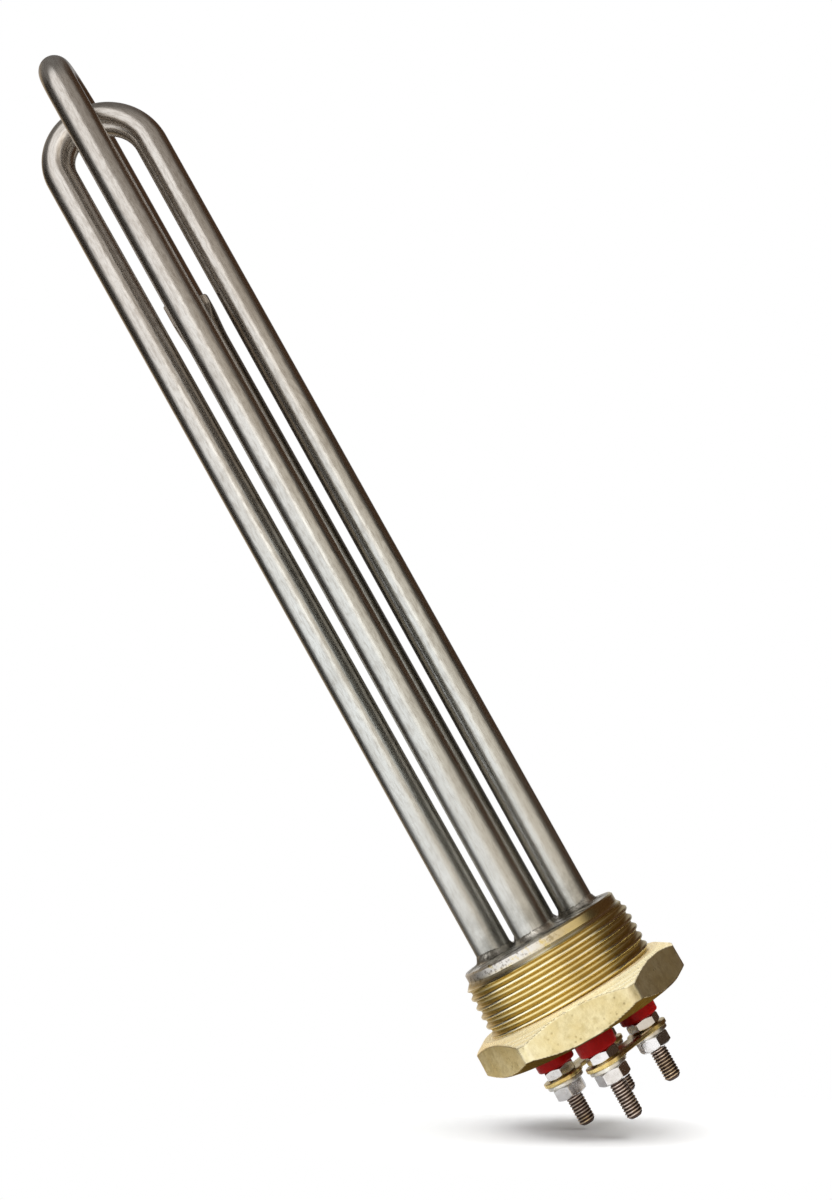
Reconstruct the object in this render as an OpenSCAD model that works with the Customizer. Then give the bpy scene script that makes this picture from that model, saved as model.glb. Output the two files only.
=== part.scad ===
// Screw plug immersion heater: brass hexagon plug, two crossed hairpin elements, a sensor pocket.
// Millimetres. The origin is the middle of the seat face, +Z runs along the elements to their bends.

/* [Screw plug] */
// Major diameter of the tank thread, G 1 1/4 with its 2.309 mm pitch
thread_d = 41.9; // [40:0.1:45]
// Height above the seat face where the thread's chamfer ends on the lead ring
thread_top = 13; // [9:0.1:14.5]
// Depth of the chamfer that starts the thread
thread_chamfer = 1.6; // [0.5:0.1:2.5]
// Diameter of the plain lead ring above the thread
lead_d = 39.2; // [36.5:0.1:39.8]
// Height of the plug's top face above the seat face
plug_top = 15.2; // [15:0.1:30]
// Hexagon size across its flats
hex_af = 48; // [46:0.5:53]
// Thickness of the hexagon
hex_h = 8.2; // [7:0.1:14]
// Diameter that the hexagon's corners are turned to
hex_corner_d = 54.2; // [50:0.1:60]
// Width left across the two corners dressed back at the mould's joint
hex_trim_w = 51.5; // [49:0.1:56]
// Diameter of the upper chamfer where it meets the seat face
hex_top_d = 46.1; // [45.2:0.1:50]
// Diameter of the lower chamfer where it meets the underside
hex_low_d = 47.3; // [44:0.1:50]
// Drop of the upper chamfer over the hexagon's corners
hex_top_drop = 2.5; // [1:0.1:3]
// Rise of the lower chamfer over the hexagon's corners
hex_low_rise = 2.1; // [1:0.1:3]

/* [Hairpin elements] */
// Outside diameter of the sheath tubes
tube_d = 8.7; // [7.5:0.1:9.2]
// Wall of the sheath tubes
tube_wall = 0.7; // [0.5:0.1:1]
// Pitch circle of the four legs in the plug
leg_pcd = 21.9; // [21:0.1:24]
// Outer top of element A's bend above the seat face
a_reach = 257.6; // [110:0.2:520]
// How much higher element B's bend tops out, so that it crosses over element A
b_over = 15; // [10:0.2:60]
// Angle by which each leg of element A leans outward
a_splay = 0.42; // [0.1:0.01:1]
// Sideways shift of the top of element A's bend, which was bent out of true
a_apex = -1.9; // [-3:0.1:3]
// Height above the plug's top face where that lean starts
splay_lift = 4; // [3:0.5:10]
// Growth of the tube's radius where it is rolled in the plug and drawn round its bend
swell = 0.05; // [0.03:0.01:0.1]
// How far the sheaths stand out under the hexagon
tube_proud = 0.3; // [0.1:0.1:2]

/* [Inside the sheaths] */
// Outside diameter of the resistance coil
coil_d = 4.4; // [4.3:0.1:4.8]
// Wire size of the resistance coil
wire_d = 0.5; // [0.3:0.05:0.6]
// Length of the straight part of a cold pin above the start of the lean
pin_len = 31; // [20:1:60]
// Length of pin that sits inside the end of the coil
pin_in_coil = 7; // [4:1:15]
// Diameter of the cold pins
pin_d = 2.6; // [2:0.1:2.8]

/* [Terminals] */
// Major diameter of the terminal studs, M4
stud_d = 4; // [3.5:0.1:4.6]
// Depth, all round, to which a nut's thread and a stud's thread bite into each other
thread_bite = 0.25; // [0.2:0.05:0.35]
// End of the left stud below the seat face
stud_left_end = 26.9; // [24:0.1:40]
// End of the right stud below the seat face
stud_right_end = 27.6; // [24:0.1:40]
// End of the front stud below the seat face
stud_front_end = 28.6; // [24:0.1:40]
// End of the back stud below the seat face
stud_back_end = 27.2; // [24:0.1:40]
// Chamfer on the end of a stud
stud_chamfer = 0.7; // [0.3:0.1:1]
// Diameter of a bush's flange
bush_d = 9.3; // [8.8:0.1:10.4]
// Thickness of a bush's flange
bush_h = 4.1; // [2:0.1:6]
// Length of the spigot that a bush has in its sheath
bush_spigot = 4.5; // [3:0.5:10]
// Rounding turned on the lower rim of a bush
bush_edge = 0.4; // [0.2:0.1:1]
// Terminal nut size across its flats
nut_af = 7; // [6.5:0.1:8]
// Height of an inner nut
nut_inner_h = 2.4; // [2:0.1:4]
// Height of an outer nut
nut_outer_h = 3; // [2:0.1:5]
// Thickness of a brass link
link_t = 0.9; // [0.5:0.1:1.5]
// Reach of a link's straight outer edge from the line between its eyes
link_out = 4.5; // [2:0.1:4.9]
// Reach of a link's straight inner edge, which leaves the sensor's way free
link_in = 2.35; // [2:0.05:2.8]
// Diameter of a link's eyes
link_eye_d = 9.8; // [8:0.1:10.5]
// Outside diameter of a terminal washer
washer_d = 9; // [8:0.1:10]
// Thickness of a terminal washer
washer_t = 1; // [0.6:0.1:1.6]
// Clearance of the nuts round the core of a stud, and of links and washers round its thread
stud_clear = 0.15; // [0.05:0.05:0.3]

/* [Sensor pocket] */
// Outside diameter of the pocket tube
pocket_d = 10.5; // [8:0.1:11]
// Wall of the pocket tube
pocket_wall = 0.9; // [0.6:0.1:1.5]
// Drop of the pocket's tip below the top of element A's bend
pocket_drop = 60.8; // [15:0.2:65]
// How far the pocket stands out under the hexagon
pocket_proud = 1.3; // [0.5:0.1:5]
// Width of the flattened tip
pocket_flat_w = 11.5; // [11:0.1:14]
// Thickness of the flattened tip
pocket_flat_t = 3; // [2.4:0.1:7]
// Length of the flattened tip
pocket_flat_len = 5.2; // [4.5:0.1:15]
// Slant of the cut across the flattened tip
pocket_slant = 14; // [0:1:20]
// Length over which the round tube turns flat
pocket_taper = 10; // [5:0.5:20]

/* [Braze and fits] */
// Height of a braze fillet on a tube
fillet_h = 1.9; // [1:0.1:2.8]
// Width of a braze fillet round a tube
fillet_w = 1.7; // [1:0.1:2.5]
// Diameter of the thin braze layer on the plug's top face
braze_d = 35; // [33:0.1:36]
// Thickness of the thin braze layer
braze_t = 0.3; // [0.2:0.1:0.6]
// Gap between a tube and its hole in the plug
tube_fit = 0.1; // [0.05:0.05:0.3]
// Gap between a sheath, its powder, its coil and its pin
pack_fit = 0.05; // [0.02:0.01:0.1]

/* [Hidden] */
$fn = 96;
lap = 0.3;
tip_step = 0.1;
leg_x = leg_pcd / 2;
b_reach = a_reach + b_over;
pocket_reach = a_reach - pocket_drop;
tube_r = tube_d / 2;
root_r = tube_r + swell;
bore_r = tube_r - tube_wall;
low_z = -hex_h;
sheath_z = low_z - tube_proud;
bush_z = sheath_z - bush_h;
nut_in_z = bush_z - nut_inner_h;
link_z = nut_in_z - link_t;
washer_z = link_z - washer_t;
nut_out_z = washer_z - nut_outer_h;
spigot_z = sheath_z + bush_spigot;
kink_z = plug_top + splay_lift;
hole_r = stud_d / 2 + stud_clear;
core_r = stud_d / 2 - thread_bite;
pin_r = pin_d / 2;
coil_in_r = coil_d / 2 - wire_d;
coil_from = pin_len - pin_in_coil;
left = 180;
right = 0;
front = 270;
back = 90;
terminals = [left, right, front, back];
inner_turn = [-25, 10, -11, 5];
outer_turn = [30, -15, 0, 14];
pocket_low = low_z - pocket_proud;
pocket_r = pocket_d / 2;
taper_z = pocket_reach - pocket_flat_len - pocket_taper;
slant_drop = pocket_flat_w * sin(pocket_slant);

// Radius of the half of a bend that meets a leaning leg, for a middle line that tops out at x = c, z = h
function bend_r(a, h, c) = (cos(a) * (leg_x - c) + sin(a) * (h - kink_z)) / (1 + sin(a));
function straight_len(a, h, c) = (h - bend_r(a, h, c) * (1 + sin(a)) - kink_z) / cos(a);

// Upright root of a leg, from height z0 to the start of the lean
module leg_low(z0, r) {
    translate([leg_x, 0, z0]) cylinder(r = r + swell, h = kink_z - z0);
}

// The leaning length of a leg, from u0 to u1 along it
module leg_high(a, u0, u1, r) {
    translate([leg_x, 0, kink_z]) rotate([0, a, 0]) translate([0, 0, u0]) cylinder(r = r, h = u1 - u0);
}

// Half of a bend, from a leg's end to just past the top
module half_bend(a, h, c, r) {
    bend = bend_r(a, h, c);
    translate([c, 0, h - bend]) rotate([90, 0, 0]) rotate([0, 0, -a])
        rotate_extrude(angle = 90 + a + 1) translate([bend, 0]) circle(r + swell);
}

// The two halves of a bend that tops out at x = c, the left half a hair thicker than the right
module bend(a, h, c, r) {
    half_bend(a, h, c, r);
    mirror([1, 0, 0]) half_bend(a, h, -c, r + 0.02);
}

module both_legs() {
    children();
    mirror([1, 0, 0]) children();
}

// The leaning lengths of both legs of a hairpin, from u0 up to its bend
module legs_high(a, h, c, u0, r) {
    leg_high(a, u0, straight_len(a, h, c) + lap, r);
    mirror([1, 0, 0]) leg_high(a, u0, straight_len(a, h, -c) + lap, r);
}

// A round run along a whole hairpin, both legs starting at height z0
module hairpin(a, h, c, z0, r) {
    both_legs() leg_low(z0, r);
    legs_high(a, h, c, -lap, r);
    bend(a, h, c, r);
}

// The hot part of a hairpin, from u0 up each leaning leg and round the bend
module hot_run(a, h, c, u0, r) {
    legs_high(a, h, c, u0, r);
    bend(a, h, c, r);
}

// One leg's cold end, from height z0 to u1 along the leaning length
module cold_end(a, z0, u1, r) {
    leg_low(z0, r);
    leg_high(a, -lap, u1, r);
}

module ring(r1, r0) {
    difference() {
        circle(r1);
        circle(r0);
    }
}

module sheath(a, reach, c) {
    h = reach - tube_r - swell;
    difference() {
        hairpin(a, h, c, sheath_z, tube_r);
        hairpin(a, h, c, sheath_z - 1, bore_r);
    }
}

module powder(a, reach, c) {
    h = reach - tube_r - swell;
    difference() {
        hairpin(a, h, c, spigot_z, bore_r - pack_fit);
        hot_run(a, h, c, coil_from - pack_fit, coil_d / 2 + pack_fit);
        both_legs() cold_end(a, spigot_z - 1, coil_from, pin_r + pack_fit);
    }
    hot_run(a, h, c, pin_len + pack_fit, coil_in_r - pack_fit);
}

module coil(a, reach, c) {
    h = reach - tube_r - swell;
    difference() {
        hot_run(a, h, c, coil_from, coil_d / 2);
        hot_run(a, h, c, coil_from - 1, coil_in_r);
    }
}

module at_leg(turn) {
    rotate([0, 0, turn]) translate([leg_x, 0, 0]) children();
}

// Cold pin, the stud's core through bush and nuts, and the free threaded end under the outer nut
module stud(turn, a, end) {
    free_z = nut_out_z - stud_clear;
    rotate([0, 0, turn]) cold_end(a, spigot_z, pin_len, pin_r);
    at_leg(turn) {
        translate([0, 0, free_z]) cylinder(r = core_r, h = spigot_z - free_z);
        translate([0, 0, -end + stud_chamfer]) cylinder(r = stud_d / 2, h = end - stud_chamfer + free_z);
        translate([0, 0, -end])
            cylinder(r1 = stud_d / 2 - stud_chamfer, r2 = stud_d / 2, h = stud_chamfer);
    }
}

module bush(turn) {
    at_leg(turn) difference() {
        union() {
            translate([0, 0, bush_z + bush_edge]) cylinder(r = bush_d / 2, h = bush_h - bush_edge);
            translate([0, 0, bush_z])
                cylinder(r1 = bush_d / 2 - bush_edge, r2 = bush_d / 2, h = bush_edge);
            translate([0, 0, sheath_z]) cylinder(r = bore_r - pack_fit, h = bush_spigot - pack_fit);
        }
        translate([0, 0, bush_z - 1]) cylinder(r = core_r + pack_fit, h = bush_h + bush_spigot + 2);
    }
}

// Hexagon nut with both ends chamfered at thirty degrees, turned on its axis
module nut(h, turn) {
    ac = nut_af / cos(30);
    face_r = nut_af * 0.475;
    clear_r = ac / 2 + 0.1;
    drop = (clear_r - face_r) * tan(30);
    rotate([0, 0, turn]) difference() {
        intersection() {
            cylinder(d = ac, h = h, $fn = 6);
            rotate_extrude()
                polygon([[0, 0], [face_r, 0], [clear_r, drop], [clear_r, h - drop], [face_r, h], [0, h]]);
        }
        translate([0, 0, -1]) cylinder(r = core_r + stud_clear, h = h + 2);
    }
}

module link() {
    span = leg_pcd / sqrt(2);
    linear_extrude(link_t) difference() {
        union() {
            circle(d = link_eye_d);
            translate([span, 0]) circle(d = link_eye_d);
            translate([0, -link_in]) square([span, link_in + link_out]);
        }
        circle(hole_r);
        translate([span, 0]) circle(hole_r);
    }
}

// Solid turned and sawn outline of the plug, without its holes
module plug_body() {
    thread_r = thread_d / 2;
    cylinder(r = thread_r, h = thread_top - thread_chamfer);
    translate([0, 0, thread_top - thread_chamfer])
        cylinder(r1 = thread_r, r2 = lead_d / 2, h = thread_chamfer);
    translate([0, 0, thread_top]) cylinder(d = lead_d, h = plug_top - thread_top - 0.5);
    translate([0, 0, plug_top - 0.5]) cylinder(d1 = lead_d, d2 = lead_d - 1, h = 0.5);
    intersection() {
        translate([0, 0, low_z]) cylinder(d = hex_af / cos(30), h = hex_h, $fn = 6);
        translate([-hex_trim_w / 2, -hex_af, low_z]) cube([hex_trim_w, 2 * hex_af, hex_h]);
        union() {
            translate([0, 0, low_z]) cylinder(d1 = hex_low_d, d2 = hex_corner_d, h = hex_low_rise);
            translate([0, 0, low_z + hex_low_rise])
                cylinder(d = hex_corner_d, h = hex_h - hex_low_rise - hex_top_drop);
            translate([0, 0, -hex_top_drop]) cylinder(d1 = hex_corner_d, d2 = hex_top_d, h = hex_top_drop);
        }
    }
}

module screw_plug() {
    color("goldenrod") difference() {
        plug_body();
        for (t = terminals) at_leg(t)
            translate([0, 0, low_z - 1]) cylinder(r = root_r + tube_fit, h = hex_h + plug_top + 2);
        translate([0, 0, low_z - 1]) cylinder(r = pocket_r + tube_fit, h = hex_h + plug_top + 2);
    }
}

module element_a_sheath() {
    color("silver") sheath(a_splay, a_reach, a_apex);
}

module element_b_sheath() {
    color("silver") rotate([0, 0, 90]) sheath(0, b_reach, 0);
}

module element_a_powder() {
    color("white") powder(a_splay, a_reach, a_apex);
}

module element_b_powder() {
    color("white") rotate([0, 0, 90]) powder(0, b_reach, 0);
}

module element_a_coil() {
    color("dimgray") coil(a_splay, a_reach, a_apex);
}

module element_b_coil() {
    color("dimgray") rotate([0, 0, 90]) coil(0, b_reach, 0);
}

module stud_left() {
    color("gray") stud(left, a_splay, stud_left_end);
}

module stud_right() {
    color("gray") stud(right, a_splay, stud_right_end);
}

module stud_front() {
    color("gray") stud(front, 0, stud_front_end);
}

module stud_back() {
    color("gray") stud(back, 0, stud_back_end);
}

module bush_left() {
    color("firebrick") bush(left);
}

module bush_right() {
    color("firebrick") bush(right);
}

module bush_front() {
    color("firebrick") bush(front);
}

module bush_back() {
    color("firebrick") bush(back);
}

module inner_nuts() {
    color("lightgray") for (i = [0:3]) at_leg(terminals[i])
        translate([0, 0, nut_in_z]) nut(nut_inner_h, inner_turn[i] - terminals[i]);
}

module outer_nuts() {
    color("lightgray") for (i = [0:3]) at_leg(terminals[i])
        translate([0, 0, nut_out_z]) nut(nut_outer_h, outer_turn[i] - terminals[i]);
}

module washers() {
    color("gainsboro") for (t = terminals) at_leg(t)
        translate([0, 0, washer_z]) linear_extrude(washer_t) ring(washer_d / 2, hole_r);
}

module link_left_back() {
    color("gold") at_leg(left) translate([0, 0, link_z]) rotate([0, 0, -135]) link();
}

module link_front_right() {
    color("gold") at_leg(right) translate([0, 0, link_z]) rotate([0, 0, -135]) link();
}

// Thin slice of the flattened tip, less a hair all round
module flat_tip(hair) {
    thick = pocket_flat_t - 2 * hair;
    cube([pocket_flat_w - pocket_flat_t, thick, 0.01], center = true);
    for (s = [-1, 1]) translate([s * (pocket_flat_w - pocket_flat_t) / 2, 0, 0])
        cylinder(d = thick, h = 0.01, center = true, $fn = 24);
}

module sensor_pocket() {
    color("silver") difference() {
        union() {
            translate([0, 0, pocket_low]) cylinder(r = pocket_r, h = taper_z - pocket_low);
            hull() {
                translate([0, 0, taper_z - lap]) cylinder(r = pocket_r - tip_step, h = lap, $fn = 64);
                translate([0, 0, taper_z + pocket_taper]) flat_tip(0);
            }
            hull() {
                translate([0, 0, taper_z + pocket_taper - lap]) flat_tip(tip_step);
                translate([0, 0, pocket_reach - slant_drop / 2]) rotate([0, pocket_slant, 0]) flat_tip(tip_step);
            }
        }
        translate([0, 0, pocket_low - 1]) cylinder(r = pocket_r - pocket_wall, h = taper_z - pocket_low);
    }
}

// Filler left on the plug's top face and round the roots of the five tubes
module braze() {
    color("lightsteelblue") difference() {
        union() {
            translate([0, 0, plug_top]) cylinder(d = braze_d, h = braze_t);
            for (t = terminals) at_leg(t) translate([0, 0, plug_top])
                cylinder(r1 = root_r + fillet_w, r2 = root_r + 0.2, h = fillet_h);
            translate([0, 0, plug_top]) cylinder(r1 = pocket_r + fillet_w, r2 = pocket_r + 0.2, h = fillet_h);
        }
        for (t = terminals) at_leg(t)
            translate([0, 0, plug_top - 1]) cylinder(r = root_r + pack_fit, h = fillet_h + 2);
        translate([0, 0, plug_top - 1]) cylinder(r = pocket_r + pack_fit, h = fillet_h + 2);
    }
}

screw_plug();
element_a_sheath();
element_b_sheath();
element_a_powder();
element_b_powder();
element_a_coil();
element_b_coil();
stud_left();
stud_right();
stud_front();
stud_back();
bush_left();
bush_right();
bush_front();
bush_back();
inner_nuts();
outer_nuts();
washers();
link_left_back();
link_front_right();
sensor_pocket();
braze();
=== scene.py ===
import math
import bmesh
import bpy
import numpy as np
from mathutils import Matrix, Vector, noise


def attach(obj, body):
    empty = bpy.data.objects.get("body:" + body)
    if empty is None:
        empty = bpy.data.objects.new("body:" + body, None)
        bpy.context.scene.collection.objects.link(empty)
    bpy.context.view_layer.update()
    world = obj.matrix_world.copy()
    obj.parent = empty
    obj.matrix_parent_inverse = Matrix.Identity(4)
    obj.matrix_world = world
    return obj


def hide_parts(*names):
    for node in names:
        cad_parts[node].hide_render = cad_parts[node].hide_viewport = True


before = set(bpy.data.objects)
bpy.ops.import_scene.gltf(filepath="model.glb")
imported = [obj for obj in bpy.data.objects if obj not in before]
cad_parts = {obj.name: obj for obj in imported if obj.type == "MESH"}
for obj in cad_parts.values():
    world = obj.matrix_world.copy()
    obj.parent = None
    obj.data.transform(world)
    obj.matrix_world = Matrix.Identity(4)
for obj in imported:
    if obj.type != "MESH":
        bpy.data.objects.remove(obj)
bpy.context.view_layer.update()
scene = bpy.context.scene
scene.view_settings.view_transform = "Standard"
print("stage: frame loaded,", len(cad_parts), "nodes")

mm = 0.001
weld = 1e-7  # points nearer than this, in metres, are merged
fullTurn = 2 * math.pi
legs = {"left": (-10.95, 0), "right": (10.95, 0), "front": (0, -10.95), "back": (0, 10.95)}


# helpers for node trees
def wire(tree, value, socket):
    if isinstance(value, bpy.types.NodeSocket):
        tree.links.new(value, socket)
    else:
        socket.default_value = value


def put(tree, kind, wires=None, **settings):
    node = tree.nodes.new(kind)
    for key, value in settings.items():
        setattr(node, key, value)
    for key, value in (wires or {}).items():
        wire(tree, value, node.inputs[key])
    return node


def calc(tree, operation, *terms):
    return put(tree, "ShaderNodeMath", dict(enumerate(terms)), operation=operation).outputs[0]


def vectorCalc(tree, operation, *terms, output="Vector"):
    return put(tree, "ShaderNodeVectorMath", dict(enumerate(terms)), operation=operation).outputs[output]


def splitXYZ(tree, vector):
    return put(tree, "ShaderNodeSeparateXYZ", {0: vector}).outputs


def joinXYZ(tree, x=0.0, y=0.0, z=0.0):
    return put(tree, "ShaderNodeCombineXYZ", {0: x, 1: y, 2: z}).outputs[0]


def remap(tree, value, fromMin, fromMax, toMin, toMax, smooth=False):
    return put(tree, "ShaderNodeMapRange", {"Value": value, "From Min": fromMin, "From Max": fromMax,
                                            "To Min": toMin, "To Max": toMax},
               interpolation_type="SMOOTHSTEP" if smooth else "LINEAR").outputs[0]


def cloudNoise(tree, vector, scale, detail, roughness=0.5):
    return put(tree, "ShaderNodeTexNoise", {"Vector": vector, "Scale": scale, "Detail": detail,
                                            "Roughness": roughness}).outputs[0]


def newTree(name, kind, inputs, outputs):
    tree = bpy.data.node_groups.new(name, kind)
    for label, socket, value in inputs:
        item = tree.interface.new_socket(label, in_out="INPUT", socket_type="NodeSocket" + socket)
        if value is not None:
            item.default_value = value
    for label, socket in outputs:
        tree.interface.new_socket(label, in_out="OUTPUT", socket_type="NodeSocket" + socket)
    source = tree.nodes.new("NodeGroupInput")
    sink = tree.nodes.new("NodeGroupOutput")
    return tree, source.outputs, sink.inputs


# helpers for meshes; circle, lathe and the lengths of a tree are in millimetres
def addPiece(name, data):
    piece = bpy.data.objects.new(name, data)
    scene.collection.objects.link(piece)
    return piece


def evaluatedMesh(piece):
    bpy.context.view_layer.update()
    graph = bpy.context.evaluated_depsgraph_get()
    return bpy.data.meshes.new_from_object(piece.evaluated_get(graph))


def bakeDown(piece):
    # the evaluated result becomes the piece's plain mesh
    made = evaluatedMesh(piece)
    piece.modifiers.clear()
    piece.data = made
    made.name = piece.name
    return piece


def runTree(name, tree, lengths, others, mesh=None):
    piece = addPiece(name, mesh or bpy.data.meshes.new(name))
    shape = piece.modifiers.new("shape", "NODES")
    shape.node_group = tree
    idents = {item.name: item.identifier for item in tree.interface.items_tree
              if item.item_type == "SOCKET" and item.in_out == "INPUT"}
    for label, value in lengths.items():
        shape[idents[label]] = value * mm
    for label, value in others.items():
        shape[idents[label]] = value
    return bakeDown(piece)


def meshFrom(name, verts, faces):
    mesh = bpy.data.meshes.new(name)
    mesh.from_pydata([tuple(v) for v in verts], [], faces)
    return mesh


def tidyMesh(mesh, angle, dist=weld):
    work = bmesh.new()
    work.from_mesh(mesh)
    bmesh.ops.remove_doubles(work, verts=work.verts, dist=dist)
    bmesh.ops.recalc_face_normals(work, faces=work.faces)
    work.to_mesh(mesh)
    work.free()
    mesh.shade_smooth()
    mesh.set_sharp_from_angle(angle=math.radians(angle))


def ringStack(name, rings, closed=False):
    # rings of equal point count become a skin, with flat caps or joined end to end
    count = len(rings[0])
    verts = [p for ring in rings for p in ring]
    faces = []
    for r in range(len(rings) - (0 if closed else 1)):
        low = r * count
        high = (r + 1) % len(rings) * count
        for i in range(count):
            j = (i + 1) % count
            faces.append((low + i, low + j, high + j, high + i))
    if not closed:
        faces.append(tuple(range(count))[::-1])
        faces.append(tuple(range(len(verts) - count, len(verts))))
    return meshFrom(name, verts, faces)


def circle(radius, z, centre=(0, 0), count=48):
    ring = []
    for a in np.linspace(0, fullTurn, count, endpoint=False):
        x = centre[0] + radius * math.cos(a)
        y = centre[1] + radius * math.sin(a)
        ring.append((x * mm, y * mm, z * mm))
    return ring


def lathe(name, outline, centre):
    # a closed outline of radius and height, turned about a vertical axis
    return ringStack(name, [circle(r, z, centre, 72) for r, z in outline], closed=True)


def joinMeshes(name, meshes):
    work = bmesh.new()
    for mesh in meshes:
        work.from_mesh(mesh)
    joined = bpy.data.meshes.new(name)
    work.to_mesh(joined)
    work.free()
    return joined


def setValues(mesh, name, values):
    layer = mesh.attributes.new(name, "FLOAT", "POINT")
    layer.data.foreach_set("value", np.asarray(values, dtype=np.float32))


def points(mesh):
    flat = np.empty(len(mesh.vertices) * 3, dtype=np.float32)
    mesh.vertices.foreach_get("co", flat)
    return flat.reshape(-1, 3)


def dress(piece, materials, node):
    held = piece.data.materials
    for index, material in enumerate(materials):
        if index < len(held):
            held[index] = material
        else:
            held.append(material)
    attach(piece, "root")
    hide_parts(node)
    return piece


# camera, placed as the photograph was taken
view = {"place": (22.67, -335.42, 34.72), "look": (-0.02647, 0.98236, 0.1851),
        "up": (0.49825, -0.14756, 0.85438), "lens": 42.05, "sensor": 36, "clip": (0.02, 50)}


def makeCamera():
    data = bpy.data.cameras.new("viewCamera")
    data.lens = view["lens"]
    data.sensor_width = view["sensor"]
    data.clip_start, data.clip_end = view["clip"]
    camera = addPiece("viewCamera", data)
    back = -Vector(view["look"]).normalized()
    side = Vector(view["up"]).cross(back).normalized()
    top = back.cross(side)
    turn = Matrix((side, top, back)).transposed().to_4x4()
    camera.matrix_world = Matrix.Translation(Vector(view["place"]) * mm) @ turn
    scene.camera = camera


makeCamera()
print("stage: camera")


# shader groups that several finishes share
def makeGrime():
    # soft-edged blotches over a share of the surface
    tree, src, out = newTree("grime", "ShaderNodeTree", [
        ("Vector", "Vector", None), ("Scale", "Float", 200.0), ("Cover", "Float", 0.5),
        ("Soft", "Float", 0.15)], [("Mask", "Float")])
    spots = cloudNoise(tree, src["Vector"], src["Scale"], 6.0, 0.62)
    bare = calc(tree, "SUBTRACT", 1.0, src["Cover"])
    low = calc(tree, "SUBTRACT", bare, src["Soft"])
    high = calc(tree, "ADD", bare, src["Soft"])
    wire(tree, remap(tree, spots, low, high, 0, 1, True), out["Mask"])
    return tree


def makeBrush():
    # fine lines that run along the third axis of the vector
    tree, src, out = newTree("drawLines", "ShaderNodeTree", [
        ("Vector", "Vector", None), ("Fineness", "Float", 2500.0), ("Run", "Float", 25.0)],
        [("Lines", "Float"), ("Broad", "Float")])
    split = splitXYZ(tree, src["Vector"])
    across = [calc(tree, "MULTIPLY", split[i], src["Fineness"]) for i in (0, 1)]
    fine = joinXYZ(tree, *across, calc(tree, "MULTIPLY", split[2], src["Run"]))
    wide = vectorCalc(tree, "MULTIPLY", fine, (0.16, 0.16, 0.6))
    wire(tree, cloudNoise(tree, fine, 1.0, 3.0), out["Lines"])
    wire(tree, cloudNoise(tree, wide, 1.0, 4.0), out["Broad"])
    return tree


def makeGrain():
    # granular surface of a sand mould, with a few deeper pits
    tree, src, out = newTree("mouldGrain", "ShaderNodeTree", [
        ("Vector", "Vector", None), ("Scale", "Float", 900.0), ("Pits", "Float", 0.5)],
        [("Height", "Float"), ("Pit", "Float")])
    grain = cloudNoise(tree, src["Vector"], src["Scale"], 5.0, 0.6)
    cellScale = calc(tree, "MULTIPLY", src["Scale"], 0.7)
    cells = put(tree, "ShaderNodeTexVoronoi", {"Vector": src["Vector"], "Scale": cellScale}).outputs[0]
    dip = remap(tree, cells, 0.05, 0.3, 1, 0)
    rare = cloudNoise(tree, src["Vector"], calc(tree, "MULTIPLY", src["Scale"], 0.2), 2.0)
    some = remap(tree, rare, 0.5, 0.62, 0, 1)
    pit = calc(tree, "MULTIPLY", calc(tree, "MULTIPLY", dip, some), src["Pits"])
    wire(tree, calc(tree, "SUBTRACT", grain, pit), out["Height"])
    wire(tree, pit, out["Pit"])
    return tree


grimeTree = makeGrime()
brushTree = makeBrush()
grainTree = makeGrain()


def grimeMask(tree, place, scale, cover, soft):
    return put(tree, "ShaderNodeGroup", {"Vector": place, "Scale": scale, "Cover": cover, "Soft": soft},
               node_tree=grimeTree).outputs["Mask"]


def drawnLines(tree, path, fineness, run):
    return put(tree, "ShaderNodeGroup", {"Vector": path, "Fineness": fineness, "Run": run},
               node_tree=brushTree).outputs


def mouldGrain(tree, place, scale, pits):
    return put(tree, "ShaderNodeGroup", {"Vector": place, "Scale": scale, "Pits": pits},
               node_tree=grainTree).outputs


# helpers for materials
def newMaterial(name, metallic, roughness, colour):
    material = bpy.data.materials.new(name)
    material.use_nodes = True
    material.diffuse_color = (*colour, 1)
    shader = material.node_tree.nodes["Principled BSDF"]
    shader.inputs["Metallic"].default_value = metallic
    shader.inputs["Roughness"].default_value = roughness
    shader.inputs["Base Color"].default_value = (*colour, 1)
    return material, material.node_tree, shader


def objectPlace(tree):
    return put(tree, "ShaderNodeTexCoord").outputs["Object"]


def attribute(tree, name, output="Fac"):
    return put(tree, "ShaderNodeAttribute", None, attribute_name=name).outputs[output]


def blendColour(tree, factor, low, high, mode="MIX"):
    node = put(tree, "ShaderNodeMix", {0: factor}, data_type="RGBA", blend_type=mode)
    for index, value in ((6, low), (7, high)):
        wire(tree, value if isinstance(value, bpy.types.NodeSocket) else (*value, 1), node.inputs[index])
    return node.outputs[2]


def tint(tree, tone, mask, share, colour):
    return blendColour(tree, calc(tree, "MULTIPLY", mask, share), tone, colour)


def connect(tree, shader, tone, rough, height, strength, distance):
    wire(tree, tone, shader.inputs["Base Color"])
    wire(tree, rough, shader.inputs["Roughness"])
    bump = put(tree, "ShaderNodeBump", {"Height": height, "Strength": strength, "Distance": distance * mm})
    wire(tree, bump.outputs[0], shader.inputs["Normal"])


# drawn steel of the hairpins and the pocket; spans are heights in metres
tubeTones = {
    "sheathSteel": {"clean": (0.67, 0.665, 0.655), "warm": (0.58, 0.565, 0.545), "stain": (0.36, 0.33, 0.3)},
    # the pocket's tones are the sheath steel darkened as painted shade, for the tube that stands between the
    # legs
    "shadedPocketSteel": {"clean": (0.32, 0.3, 0.27), "warm": (0.27, 0.23, 0.19), "stain": (0.15, 0.12, 0.09)}}
tubeHeat = {"bendSpan": (0.08, 0.22), "cool": (0.95, 0.99, 0.985), "brown": (1.0, 0.965, 0.925),
            "footSpan": (0.018, 0.09), "dull": (0.57, 0.56, 0.52),
            "sootSpan": (0.016, 0.03), "soot": (0.13, 0.13, 0.11)}


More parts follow.
